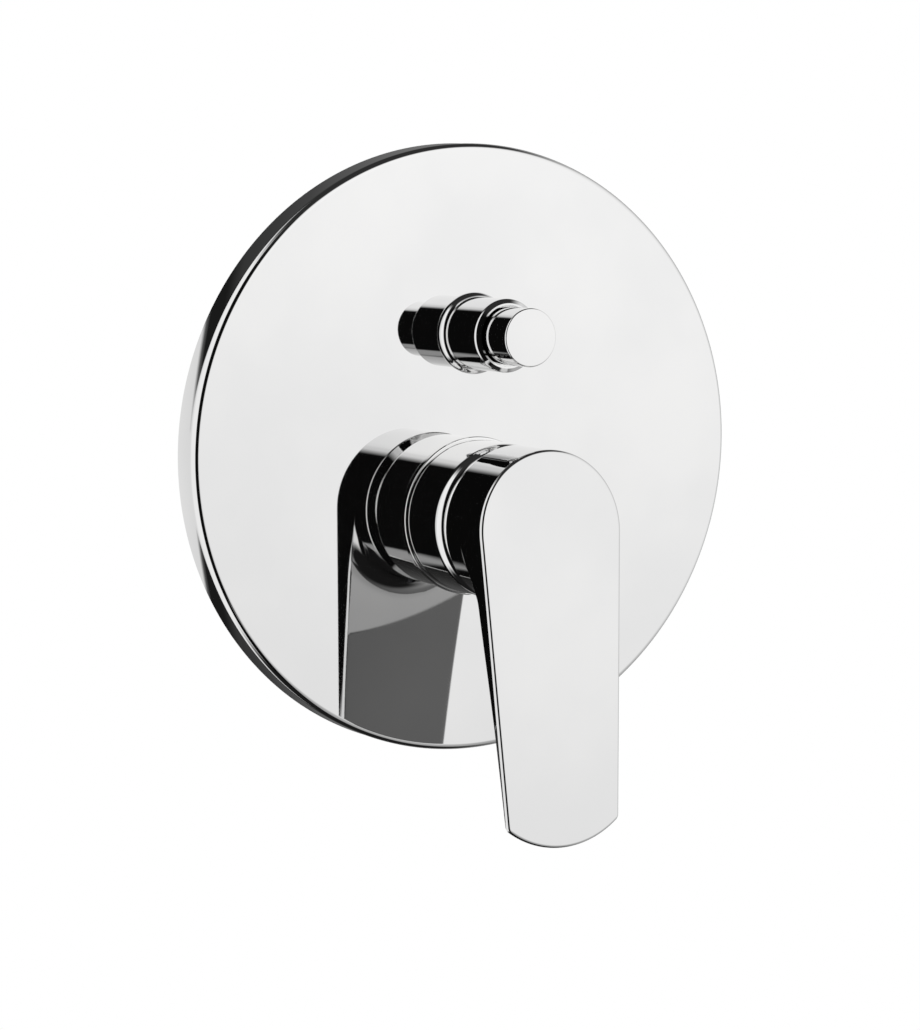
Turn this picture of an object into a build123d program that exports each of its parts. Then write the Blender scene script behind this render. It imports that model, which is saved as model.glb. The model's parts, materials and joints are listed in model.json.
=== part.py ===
# Concealed shower mixer: round cover plate, single lever on a ceramic-disc cartridge, and a push-button
# diverter, on a brass body that sits inside the wall.
# The origin is the plate's centre on the finished wall. +Z is up, and the front faces -Y.
# A height is a distance out from the wall, so a height h lies at y = -h.

import os
from math import asin, cos, radians, sin, sqrt, tan

from build123d import *

# Cover plate
plate_diameter = 180.0
plate_depth = 10.5
plate_wall = 1.5
plate_edge_round = 1.6
seal_width = 8.5
plate_hole_gap = 0.1

# Axes of the lever and the diverter, measured from the plate's centre
hub_z = -19.5
diverter_z = 34.5

# Cartridge
cartridge_diameter = 35.0
cartridge_gap = 0.1
housing_wall = 1.8
shoulder_lip = 2.6
shoulder_wall = 2.0
shoulder_drop = 9.5
snout_wall = 1.55
moving_disc_thickness = 3.5
fixed_disc_thickness = 4.0
disc_gap = 0.05
disc_side_gap = 1.6
base_thickness = 5.85
base_flange = 4.0
base_seal_minor = 0.7
base_seal_major = 4.2
locator_x = 12.5
locator_z = 5.5
locator_radius = 1.5
locator_length = 2.0
inlet_port_x = 6.5
inlet_port_z = -4.0
inlet_port_radius = 3.0
outlet_port_z = 5.5
outlet_port_radius = 3.3
pocket_width = 14.0
pocket_height = 9.0
pocket_rise = 3.0
pocket_depth = 2.0
pocket_round = 2.5

# Lever mechanism
pivot_stand = 5.0
lift_angle = 25.0
spindle_square = 8.0
spindle_arm = 12.0
spindle_shank = 4.5
spindle_gap = 0.35
ball_radius = 3.2
ball_neck_radius = 2.2
pin_radius = 1.5
pin_inset = 1.0
carrier_stand = 5.5
carrier_flange_drop = 2.5
slider_width = 12.0
slider_top_rise = 2.5
slider_end_gap = 2.4
slider_plate = 2.5
slide_gap = 0.1
running_gap = 0.05
free_gap = 0.3

# Threaded neck, nut and sleeve round the cartridge
nut_step = 1.1
nut_flange_height = 4.0
nut_hex_flats = 34.0
neck_wall = 2.2
neck_rise = 2.5
sleeve_wall = 2.05
sleeve_length = 18.44
sleeve_tail = 12.5
sleeve_foot_overhang = 0.75
sleeve_foot_height = 1.3
sleeve_foot_round = 0.4
dome_wall = 1.6
dome_round = 1.0
dome_opening_diameter = 35.0
neck_seal_minor = 0.95
neck_seal_width = 2.2
neck_seal_height = 4.0

# Lever handle
head_step = 0.15
head_relief = 0.1
head_gap = 4.76
head_depth = 21.9
lever_reach = 89.0
lever_taper = 3.2
lever_end_radius = 29.0
lever_corner_round = 2.0
face_tilt = 5.5
front_edge_round = 1.0
back_edge_round = 0.8
recess_gap = 0.35
blade_root_rise = 10.6
blade_root_thickness = 7.0
blade_root_reach = 28.0
blade_mid_thickness = 3.9
blade_mid_reach = 50.0
blade_tip_thickness = 1.9
boss_diameter = 19.0
pocket_wall = 4.0
pocket_floor = 5.3
socket_wall = 4.5
socket_gap = 0.05
grub_diameter = 5.0
grub_length = 6.0
grub_key = 2.5
grub_key_depth = 2.5
grub_offset = 8.6

# Diverter
button_diameter = 16.74
button_length = 19.0
button_wall = 1.37
button_end_wall = 2.0
button_round = 0.8
button_stand = 12.6
collar_length = 20.1
collar_wall = 2.25
collar_round = 0.7
collar_chamfer = 0.6
collar_foot_overhang = 0.65
collar_foot_height = 1.5
collar_foot_round = 0.5
collar_skirt_step = 0.3
collar_skirt_wall = 1.1
collar_skirt_length = 7.5
collar_seal_minor = 0.35
stem_diameter = 6.0
stem_boss_wall = 1.2
stem_boss_length = 5.2
stem_socket_depth = 4.0
stem_stop_step = 1.5
stem_stop_length = 2.0
spring_wire = 0.9
spring_turns = 6
spring_sides = 6
bonnet_diameter = 22.0
bonnet_hex_flats = 25.0
bonnet_flange = 4.0
bonnet_shank = 13.5
bonnet_spigot = 1.5
bonnet_seal_minor = 0.7
gland_seal_minor = 0.75
seal_groove_gap = 0.1
ring_sides = 8
ring_turn = 180 / ring_sides
land_width = 3.0
land_gap = 0.3
spool_diameter = 14.0
spool_seal_minor = 0.72

# Brass body in the wall
housing_front = -2.0
housing_skin = 4.0
housing_end_wall = 5.0
bonnet_step = 0.5
chamber_front = -5.0
chamber_step = 1.7
chamber_end_wall = 6.0
cast_round = 2.0
rim_round = 1.0
port_drop = 19.0
port_pitch = 8.0
channel_radius = 2.5
channel_relief = 1.0
arm_radius = 13.0
stub_step = 1.0
stub_length = 6.0
union_step = 1.5
union_chamfer = 1.0
union_flats = 26.0
union_flat_length = 12.0
thread_radius = 9.3
thread_depth = 15.0
inlet_stand = 4.5
outlet_stand = 3.5
waterway_radius = 4.5
waterway_end = 5.0
lug_spacing = 66.0
lug_width = 11.0
lug_thickness = 5.0
lug_inset = 2.0
lug_hole_radius = 2.75
lug_z = 11.3

# Radii from the cartridge outwards
cartridge_radius = cartridge_diameter / 2
housing_radius = cartridge_radius - cartridge_gap
housing_bore = housing_radius - housing_wall
barrel_radius = housing_bore - shoulder_lip
snout_radius = barrel_radius + running_gap + snout_wall
nut_radius = cartridge_radius + nut_step
neck_radius = nut_radius + neck_wall
sleeve_radius = neck_radius + sleeve_wall
head_radius = sleeve_radius + head_step
chamber_radius = neck_radius + chamber_step
plate_radius = plate_diameter / 2

# Heights along the lever's axis
face = plate_depth
sleeve_end = face + sleeve_length
head_back = sleeve_end + head_gap
head_front = head_back + head_depth
neck_top = face + neck_rise
pivot = face + pivot_stand
ball = pivot - spindle_arm
carrier_top = pivot + carrier_stand
carrier_bottom = ball - carrier_flange_drop
slider_top = ball + slider_top_rise
slider_back = carrier_bottom - slide_gap - slider_plate
moving_back = slider_back - moving_disc_thickness
fixed_front = moving_back - disc_gap
fixed_back = fixed_front - fixed_disc_thickness
seat = fixed_back - base_thickness
shoulder_top = pivot - shoulder_drop
shoulder_under = shoulder_top - shoulder_wall
port_height = seat - port_drop

# Travel of the moving disc, centred on the cartridge axis at half lift
slide_travel = spindle_arm * sin(radians(lift_angle))
disc_offset = slide_travel / 2
moving_disc_radius = housing_bore - disc_offset - disc_side_gap
slider_half = barrel_radius - disc_offset - slider_end_gap

# Sphere round the pivot that the sleeve's lip and the handle's recess share
dome_radius = sqrt(sleeve_radius**2 + (sleeve_end - pivot) ** 2)
recess_radius = dome_radius + recess_gap
dome_opening = dome_opening_diameter / 2

# Radii and heights along the diverter's axis
button_radius = button_diameter / 2
guide_radius = button_radius + running_gap
collar_radius = guide_radius + collar_wall
skirt_radius = collar_radius - collar_skirt_step
spigot_radius = skirt_radius - collar_skirt_wall
stem_radius = stem_diameter / 2
stem_boss_radius = stem_radius + stem_boss_wall
stem_stop_radius = stem_radius + stem_stop_step
bonnet_radius = bonnet_diameter / 2
spool_radius = spool_diameter / 2
land_radius = spool_radius - land_gap
diverter_housing_radius = bonnet_radius + housing_skin
collar_end = face + collar_length
button_front = collar_end + button_stand
button_back = button_front - button_length
button_inner = button_front - button_end_wall
spigot_top = face + bonnet_spigot
skirt_back = face - collar_skirt_length
flange_top = housing_front + bonnet_flange
bonnet_back = housing_front - bonnet_shank
upper_channel = port_height + port_pitch
lower_channel = port_height - port_pitch
land_front = upper_channel - channel_radius
spool_back = lower_channel - channel_radius - channel_relief
housing_back = spool_back - housing_end_wall
chamber_back = lower_channel - channel_radius - chamber_end_wall
lug_back = chamber_back + lug_inset
stub_radius = arm_radius - stub_step
union_radius = arm_radius + union_step
union_length = stub_length + thread_depth
inlet_arm = chamber_radius + inlet_stand
outlet_arm = diverter_z + diverter_housing_radius + outlet_stand
inlet_reach = inlet_arm + union_length
outlet_reach = outlet_arm + union_length


def hub_plane(height):
    return Plane(origin=(0, -height, hub_z), x_dir=(1, 0, 0), z_dir=(0, -1, 0))


def diverter_plane(height):
    return Plane(origin=(0, -height, diverter_z), x_dir=(1, 0, 0), z_dir=(0, -1, 0))


# Half-section planes: the first coordinate is the height, the second the distance from the axis
hub_section = Plane(origin=(0, 0, hub_z), x_dir=(0, -1, 0), z_dir=(-1, 0, 0))
diverter_section = Plane(origin=(0, 0, diverter_z), x_dir=(0, -1, 0), z_dir=(-1, 0, 0))
hub_axis = Axis((0, 0, hub_z), (0, -1, 0))
diverter_axis = Axis((0, 0, diverter_z), (0, -1, 0))


def dome_point(radius, angle):
    return (pivot + radius * cos(angle), radius * sin(angle))


def seal_ring(section, axis, height, major, minor):
    with BuildPart() as ring:
        with BuildSketch(section):
            with Locations((height, major)):
                RegularPolygon(minor, ring_sides, major_radius=False, rotation=ring_turn)
        revolve(axis=axis)
    return ring.part


def save(part, name):
    part.label = name
    export_step(part, f"parts/{name}.step")


os.makedirs("parts", exist_ok=True)

# Cover plate: a drawn dish with a rounded front edge and two holes
with BuildPart() as cover_plate:
    with BuildSketch(Plane.XZ):
        Circle(plate_radius)
    extrude(amount=plate_depth)
    front_edges = cover_plate.faces().sort_by(Axis.Y)[0].edges()
    fillet(front_edges, plate_edge_round)
    with BuildSketch(Plane.XZ):
        Circle(plate_radius - plate_wall)
    extrude(amount=plate_depth - plate_wall, mode=Mode.SUBTRACT)
    with BuildSketch(hub_plane(0)):
        Circle(sleeve_radius + plate_hole_gap)
    extrude(amount=plate_depth, mode=Mode.SUBTRACT)
    with BuildSketch(diverter_plane(0)):
        Circle(skirt_radius + plate_hole_gap)
    extrude(amount=plate_depth, mode=Mode.SUBTRACT)
save(cover_plate.part, "cover_plate")

# Foam ring behind the plate, flush with its rim
with BuildPart() as plate_seal:
    with BuildSketch(Plane.XZ):
        Circle(plate_radius - plate_wall)
        Circle(plate_radius - plate_wall - seal_width, mode=Mode.SUBTRACT)
    extrude(amount=plate_depth - plate_wall)
save(plate_seal.part, "plate_seal")

# Hub sleeve: screws on the neck, clamps the plate with its foot, and ends in a spherical lip
inner_dome = dome_radius - dome_wall
lip_start = asin(sleeve_radius / dome_radius)
lip_end = asin(dome_opening / dome_radius)
inner_start = asin(dome_opening / inner_dome)
inner_end = asin(neck_radius / inner_dome)
with BuildPart() as hub_sleeve:
    with BuildSketch(hub_section):
        with BuildLine():
            Polyline(
                dome_point(inner_dome, inner_end),
                (face - sleeve_tail, neck_radius),
                (face - sleeve_tail, sleeve_radius),
                dome_point(dome_radius, lip_start),
            )
            ThreePointArc(
                dome_point(dome_radius, lip_start),
                dome_point(dome_radius, (lip_start + lip_end) / 2),
                dome_point(dome_radius, lip_end),
            )
            Line(dome_point(dome_radius, lip_end), dome_point(inner_dome, inner_start))
            ThreePointArc(
                dome_point(inner_dome, inner_start),
                dome_point(inner_dome, (inner_start + inner_end) / 2),
                dome_point(inner_dome, inner_end),
            )
        make_face()
    revolve(axis=hub_axis)
    fillet(hub_sleeve.edges().filter_by_position(Axis.Y, -sleeve_end, -sleeve_end), dome_round)
    with BuildSketch(hub_plane(face)):
        Circle(sleeve_radius + sleeve_foot_overhang)
        Circle(neck_radius, mode=Mode.SUBTRACT)
    extrude(amount=sleeve_foot_height)
    foot_top = -face - sleeve_foot_height
    foot_edges = hub_sleeve.edges().filter_by_position(Axis.Y, foot_top, foot_top)
    fillet(foot_edges.sort_by(SortBy.RADIUS)[-1], sleeve_foot_round)
save(hub_sleeve.part, "hub_sleeve")

neck_groove = neck_radius - 2 * neck_seal_minor
save(
    seal_ring(
        hub_section, hub_axis, neck_seal_height, neck_radius - neck_seal_minor, neck_seal_minor
    ),
    "sleeve_seal",
)

# Lever handle: round head over the sleeve's lip, flowing into a thin tapered blade
taper = radians(lever_taper)
tilt = tan(radians(face_tilt))
side_top = (head_radius * cos(taper), -head_radius * sin(taper))
end_sag = lever_end_radius - sqrt(lever_end_radius**2 - (side_top[0] - lever_reach * tan(taper)) ** 2)
side_end_z = -(lever_reach - end_sag)
side_end = (side_top[0] - (side_top[1] - side_end_z) * tan(taper), side_end_z)
flare_reach = lever_reach + head_radius
under_radius = head_radius + head_relief
root_height = head_front + tilt * blade_root_reach - blade_root_thickness
mid_height = head_front + tilt * blade_mid_reach - blade_mid_thickness
tip_height = head_front + tilt * flare_reach - blade_tip_thickness
blade_run = (mid_height - tip_height, blade_mid_reach - flare_reach)
blank_top = head_front + tilt * lever_reach + head_radius * tilt + front_edge_round
with BuildPart() as lever_handle:
    with BuildSketch(hub_plane(head_back)) as outline:
        with BuildLine():
            ThreePointArc(side_top, (0, head_radius), (-side_top[0], side_top[1]))
            Line((-side_top[0], side_top[1]), (-side_end[0], side_end[1]))
            ThreePointArc((-side_end[0], side_end[1]), (0, -lever_reach), side_end)
            Line(side_end, side_top)
        make_face()
        fillet(outline.vertices().group_by(Axis.Z)[0], lever_corner_round)
    extrude(amount=blank_top - head_back)
    with BuildSketch(hub_section):
        with BuildLine():
            Polyline((head_back + blade_root_rise, under_radius), (head_back, under_radius), (head_back, 0))
            Polyline((head_back, 0), (blank_top, 0), (blank_top, flare_reach), (tip_height, flare_reach))
            Spline(
                (tip_height, flare_reach),
                (mid_height, blade_mid_reach),
                (root_height, blade_root_reach),
                (head_back + blade_root_rise, under_radius),
                tangents=[blade_run, (-1, 0)],
            )
        make_face()
    revolve(axis=hub_axis, mode=Mode.INTERSECT)
    front_plane = Plane(origin=(0, -head_front, hub_z), x_dir=(1, 0, 0), z_dir=(0, -1, tilt))
    split(bisect_by=front_plane, keep=Keep.BOTTOM)
    # A round started at the blade's end runs on along the tangent edges, up both sides of the lever
    end_face = lever_handle.faces().sort_by(Axis.Z)[0]
    fillet(end_face.edges().sort_by(Axis.Y)[0], front_edge_round)
    end_face = lever_handle.faces().sort_by(Axis.Z)[0]
    fillet(end_face.edges().sort_by(Axis.Y)[-1], back_edge_round)
    with BuildSketch(hub_plane(head_back)):
        Circle(head_radius - pocket_wall)
        Circle(boss_diameter / 2, mode=Mode.SUBTRACT)
    extrude(amount=head_depth - pocket_floor, mode=Mode.SUBTRACT)
    with BuildSketch(hub_plane(head_back)):
        Rectangle(spindle_square + 2 * socket_gap, spindle_square + 2 * socket_gap)
    extrude(amount=head_depth - socket_wall, mode=Mode.SUBTRACT)
    with Locations((0, -pivot, hub_z)):
        Sphere(recess_radius, mode=Mode.SUBTRACT)
    with BuildSketch(Plane.XY.offset(hub_z)):
        with Locations((0, -(head_front - grub_offset))):
            Circle(grub_diameter / 2)
    extrude(amount=-(head_radius + blade_root_rise), mode=Mode.SUBTRACT)
save(lever_handle.part, "lever_handle")

# Grub screw in the boss, its tip on the spindle
with BuildPart() as grub_screw:
    with BuildSketch(Plane.XY.offset(hub_z - spindle_square / 2)):
        with Locations((0, -(head_front - grub_offset))):
            Circle(grub_diameter / 2)
    extrude(amount=-grub_length)
    with BuildSketch(Plane.XY.offset(hub_z - spindle_square / 2 - grub_length)):
        with Locations((0, -(head_front - grub_offset))):
            RegularPolygon(grub_key / 2, 6, major_radius=False)
    extrude(amount=grub_key_depth, mode=Mode.SUBTRACT)
save(grub_screw.part, "grub_screw")

# Spindle: square shank through the pivot, with a ball below it
with BuildPart() as spindle:
    with BuildSketch(hub_plane(pivot - spindle_shank)):
        Rectangle(spindle_square, spindle_square)
    extrude(amount=head_front - socket_wall - socket_gap - pivot + spindle_shank)
    with BuildSketch(hub_plane(ball)):
        Circle(ball_neck_radius)
    extrude(amount=spindle_arm - spindle_shank)
    with Locations((0, -ball, hub_z)):
        Sphere(ball_radius)
    with BuildSketch(Plane.YZ):
        with Locations((-pivot, hub_z)):
            Circle(pin_radius + running_gap)
    extrude(amount=spindle_square, both=True, mode=Mode.SUBTRACT)
save(spindle.part, "spindle")

with BuildPart() as pivot_pin:
    with BuildSketch(Plane.YZ):
        with Locations((-pivot, hub_z)):
            Circle(pin_radius)
    extrude(amount=barrel_radius - pin_inset, both=True)
save(pivot_pin.part, "pivot_pin")

# Carrier: turns in the cartridge snout, holds the pivot pin, and guides the slider in a cross slot
with BuildPart() as cartridge_carrier:
    with BuildSketch(hub_plane(carrier_bottom)):
        Circle(housing_bore - free_gap)
    extrude(amount=shoulder_under - running_gap - carrier_bottom)
    with BuildSketch(hub_plane(carrier_bottom)):
        Circle(barrel_radius)
    extrude(amount=carrier_top - carrier_bottom)
    with BuildSketch(hub_plane(carrier_bottom)):
        Rectangle(slider_width + 2 * slide_gap, 2 * housing_bore)
    extrude(amount=slider_top + free_gap - carrier_bottom, mode=Mode.SUBTRACT)
    swing_length = 2 * (spindle_arm + ball_radius + spindle_gap)
    with BuildSketch(Plane.YZ):
        with Locations((-pivot, hub_z)):
            Rectangle(swing_length, spindle_square + 2 * spindle_gap)
            Rectangle(swing_length, spindle_square + 2 * spindle_gap, rotation=-lift_angle)
    extrude(amount=spindle_square / 2 + spindle_gap, both=True, mode=Mode.SUBTRACT)
    with BuildSketch(Plane.YZ):
        with Locations((-pivot, hub_z)):
            Circle(pin_radius)
    extrude(amount=barrel_radius, both=True, mode=Mode.SUBTRACT)
save(cartridge_carrier.part, "cartridge_carrier")

# Cartridge housing: cup with a shoulder for the nut and a snout round the carrier
snout_top = carrier_top - snout_wall
with BuildPart() as cartridge_housing:
    with BuildSketch(hub_section):
        with BuildLine():
            Polyline(
                (seat + base_flange, housing_bore),
                (seat + base_flange, housing_radius),
                (shoulder_top, housing_radius),
                (shoulder_top, snout_radius),
                (snout_top, snout_radius),
                (snout_top, barrel_radius + running_gap),
                (shoulder_under, barrel_radius + running_gap),
                (shoulder_under, housing_bore),
                close=True,
            )
        make_face()
    revolve(axis=hub_axis)
save(cartridge_housing.part, "cartridge_housing")

# Slider: block in the carrier's slot with a socket for the ball, on a round driving plate
disc_z = disc_offset
with BuildPart() as disc_slider:
    with BuildSketch(hub_plane(slider_back)):
        with Locations((0, disc_z)):
            Circle(moving_disc_radius)
    extrude(amount=slider_plate)
    with BuildSketch(hub_plane(slider_back)):
        with Locations((0, disc_z)):
            Rectangle(slider_width, 2 * slider_half)
    extrude(amount=slider_top - slider_back)
    socket_side = 2 * (ball_radius + free_gap)
    with BuildSketch(hub_plane(ball - ball_radius - free_gap)):
        Rectangle(socket_side, socket_side)
    extrude(amount=slider_top - ball + ball_radius + free_gap, mode=Mode.SUBTRACT)
save(disc_slider.part, "disc_slider")

# Moving ceramic disc, with the mixing pocket in its back
with BuildPart() as moving_disc:
    with BuildSketch(hub_plane(moving_back)):
        with Locations((0, disc_z)):
            Circle(moving_disc_radius)
    extrude(amount=moving_disc_thickness)
    with BuildSketch(hub_plane(moving_back)):
        with Locations((0, disc_z + pocket_rise)):
            RectangleRounded(pocket_width, pocket_height, pocket_round)
    extrude(amount=pocket_depth, mode=Mode.SUBTRACT)
save(moving_disc.part, "moving_disc")

inlet_ports = [(-inlet_port_x, inlet_port_z), (inlet_port_x, inlet_port_z)]
outlet_ports = [(0, outlet_port_z)]
locators = [(-locator_x, locator_z), (locator_x, locator_z)]

# Fixed ceramic disc with the three ports
with BuildPart() as fixed_disc:
    with BuildSketch(hub_plane(fixed_back)):
        Circle(housing_bore - cartridge_gap)
        with Locations(*inlet_ports):
            Circle(inlet_port_radius, mode=Mode.SUBTRACT)
        with Locations(*outlet_ports):
            Circle(outlet_port_radius, mode=Mode.SUBTRACT)
    extrude(amount=fixed_disc_thickness)
save(fixed_disc.part, "fixed_disc")

# Cartridge base: spigot in the housing, flange and locating pins on the seat, and grooves for the port seals
seal_groove = base_seal_minor + seal_groove_gap
with BuildPart() as cartridge_base:
    with BuildSketch(hub_plane(seat)):
        Circle(housing_radius)
    extrude(amount=base_flange)
    with BuildSketch(hub_plane(seat)):
        Circle(housing_bore - cartridge_gap)
    extrude(amount=base_thickness)
    with BuildSketch(hub_plane(seat)):
        with Locations(*inlet_ports):
            Circle(inlet_port_radius)
        with Locations(*outlet_ports):
            Circle(outlet_port_radius)
    extrude(amount=base_thickness, mode=Mode.SUBTRACT)
    with BuildSketch(hub_plane(seat)):
        with Locations(*inlet_ports, *outlet_ports):
            Circle(base_seal_major + seal_groove)
            Circle(base_seal_major - seal_groove, mode=Mode.SUBTRACT)
    extrude(amount=2 * base_seal_minor, mode=Mode.SUBTRACT)
    with BuildSketch(hub_plane(seat)):
        with Locations(*locators):
            Circle(locator_radius)
    extrude(amount=-locator_length)
save(cartridge_base.part, "cartridge_base")

with BuildPart() as base_seals:
    for port_x, port_z in inlet_ports + outlet_ports:
        port_section = Plane(origin=(port_x, 0, hub_z + port_z), x_dir=(0, -1, 0), z_dir=(-1, 0, 0))
        with BuildSketch(port_section):
            with Locations((seat + base_seal_minor, base_seal_major)):
                RegularPolygon(base_seal_minor, ring_sides, major_radius=False, rotation=ring_turn)
        revolve(axis=Axis((port_x, 0, hub_z + port_z), (0, -1, 0)))
save(base_seals.part, "base_seals")

# Ring nut: threaded shank in the neck, hexagon in front of it
with BuildPart() as cartridge_nut:
    with BuildSketch(hub_plane(shoulder_top)):
        Circle(nut_radius)
    extrude(amount=neck_top - shoulder_top)
    with BuildSketch(hub_plane(neck_top)):
        RegularPolygon(nut_hex_flats / 2, 6, major_radius=False)
    extrude(amount=nut_flange_height)
    with BuildSketch(hub_plane(shoulder_top)):
        Circle(snout_radius + cartridge_gap)
    extrude(amount=neck_top + nut_flange_height - shoulder_top, mode=Mode.SUBTRACT)
save(cartridge_nut.part, "cartridge_nut")

# Diverter collar: stepped tube, screwed on the bonnet's spigot, its foot on the plate
collar_foot_radius = collar_radius + collar_foot_overhang
skirt_groove = face - plate_wall / 2
collar_seal_major = skirt_radius + plate_hole_gap - collar_seal_minor
with BuildPart() as diverter_collar:
    with BuildSketch(diverter_plane(skirt_back)):
        Circle(skirt_radius)
    extrude(amount=collar_skirt_length)
    with BuildSketch(diverter_plane(face)):
        Circle(collar_radius)
    extrude(amount=collar_length)
    fillet(diverter_collar.faces().sort_by(Axis.Y)[0].edges(), collar_round)
    with BuildSketch(diverter_plane(face)):
        Circle(collar_foot_radius)
    extrude(amount=collar_foot_height)
    foot_top = -face - collar_foot_height
    foot_edges = diverter_collar.edges().filter_by_position(Axis.Y, foot_top, foot_top)
    fillet(foot_edges.sort_by(SortBy.RADIUS)[-1], collar_foot_round)
    with BuildSketch(diverter_plane(skirt_back)):
        Circle(guide_radius)
    extrude(amount=collar_end - skirt_back, mode=Mode.SUBTRACT)
    front_face = diverter_collar.faces().filter_by(Axis.Y).sort_by(Axis.Y)[0]
    chamfer(front_face.edges().sort_by(SortBy.RADIUS)[0], collar_chamfer)
    with BuildSketch(diverter_plane(skirt_back)):
        Circle(spigot_radius)
    extrude(amount=spigot_top - skirt_back, mode=Mode.SUBTRACT)
    with BuildSketch(diverter_section):
        with Locations((skirt_groove, skirt_radius + plate_hole_gap)):
            Rectangle(2 * (collar_seal_minor + seal_groove_gap), 4 * collar_seal_minor)
    revolve(axis=diverter_axis, mode=Mode.SUBTRACT)
save(diverter_collar.part, "diverter_collar")

save(
    seal_ring(diverter_section, diverter_axis, skirt_groove, collar_seal_major, collar_seal_minor),
    "collar_seal",
)

# Push button: a cup with a boss for the stem
with BuildPart() as diverter_button:
    with BuildSketch(diverter_plane(button_back)):
        Circle(button_radius)
    extrude(amount=button_length)
    fillet(diverter_button.faces().sort_by(Axis.Y)[0].edges(), button_round)
    with BuildSketch(diverter_plane(button_back)):
        Circle(button_radius - button_wall)
    extrude(amount=button_inner - button_back, mode=Mode.SUBTRACT)
    with BuildSketch(diverter_plane(button_inner - stem_boss_length)):
        Circle(stem_boss_radius)
    extrude(amount=stem_boss_length)
    with BuildSketch(diverter_plane(button_inner - stem_boss_length)):
        Circle(stem_radius)
    extrude(amount=stem_socket_depth, mode=Mode.SUBTRACT)
save(diverter_button.part, "diverter_button")

# Stem: rod from the button to the spool land, with a stop behind the bonnet
stem_top = button_inner - stem_boss_length + stem_socket_depth
land_back = land_front - land_width
land_middle = (land_front + land_back) / 2
spool_seal_outer = spool_radius - running_gap
land_groove = spool_seal_outer - 2 * spool_seal_minor
stop_front = bonnet_back - running_gap
with BuildPart() as diverter_stem:
    with BuildSketch(diverter_plane(land_back)):
        Circle(stem_radius)
    extrude(amount=stem_top - land_back)
    with BuildSketch(diverter_plane(stop_front)):
        Circle(stem_stop_radius)
    extrude(amount=-stem_stop_length)
    with BuildSketch(diverter_plane(land_back)):
        Circle(land_radius)
    extrude(amount=land_width)
    with BuildSketch(diverter_section):
        with Locations((land_middle, land_radius)):
            Rectangle(2 * (spool_seal_minor + seal_groove_gap), 2 * (land_radius - land_groove))
    revolve(axis=diverter_axis, mode=Mode.SUBTRACT)
save(diverter_stem.part, "diverter_stem")

save(
    seal_ring(
        diverter_section, diverter_axis, land_middle, land_groove + spool_seal_minor, spool_seal_minor
    ),
    "spool_seal",
)

# Return spring between the bonnet's spigot and the button
spring_radius = (button_radius - button_wall + stem_boss_radius) / 2
spring_start = spigot_top + spring_wire / 2
spring_span = button_inner - spring_wire / 2 - spring_start
with BuildPart() as diverter_spring:
    with BuildLine():
        coil = Helix(
            pitch=spring_span / spring_turns,
            height=spring_span,
            radius=spring_radius,
            center=(0, -spring_start, diverter_z),
            direction=(0, -1, 0),
        )
    with BuildSketch(Plane(origin=coil @ 0, x_dir=(1, 0, 0), z_dir=coil % 0)):
        RegularPolygon(spring_wire / 2, spring_sides)
    sweep(is_frenet=True)
save(diverter_spring.part, "diverter_spring")

# Bonnet: threaded gland that closes the diverter housing and guides the stem
bonnet_groove = bonnet_radius - 2 * bonnet_seal_minor
bonnet_seal_height = housing_front - bonnet_seal_minor - seal_groove_gap
gland_bore = stem_radius + running_gap
gland_height = bonnet_back + bonnet_shank / 2
with BuildPart() as diverter_bonnet:
    with BuildSketch(diverter_plane(bonnet_back)):
        Circle(bonnet_radius)
    extrude(amount=bonnet_shank)
    with BuildSketch(diverter_plane(housing_front)):
        RegularPolygon(bonnet_hex_flats / 2, 6, major_radius=False)
    extrude(amount=bonnet_flange)
    with BuildSketch(diverter_plane(flange_top)):
        Circle(spigot_radius)
    extrude(amount=spigot_top - flange_top)
    with BuildSketch(diverter_plane(bonnet_back)):
        Circle(gland_bore)
    extrude(amount=spigot_top - bonnet_back, mode=Mode.SUBTRACT)
    with BuildSketch(diverter_section):
        with Locations((bonnet_seal_height, bonnet_radius)):
            Rectangle(2 * (bonnet_seal_minor + seal_groove_gap), 4 * bonnet_seal_minor)
        with Locations((gland_height, gland_bore)):
            Rectangle(2 * (gland_seal_minor + seal_groove_gap), 4 * gland_seal_minor)
    revolve(axis=diverter_axis, mode=Mode.SUBTRACT)
save(diverter_bonnet.part, "diverter_bonnet")

save(
    seal_ring(
        diverter_section,
        diverter_axis,
        bonnet_seal_height,
        bonnet_groove + bonnet_seal_minor,
        bonnet_seal_minor,
    ),
    "bonnet_seal",
)
save(
    seal_ring(
        diverter_section, diverter_axis, gland_height, gland_bore + gland_seal_minor, gland_seal_minor
    ),
    "gland_seal",
)

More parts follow.
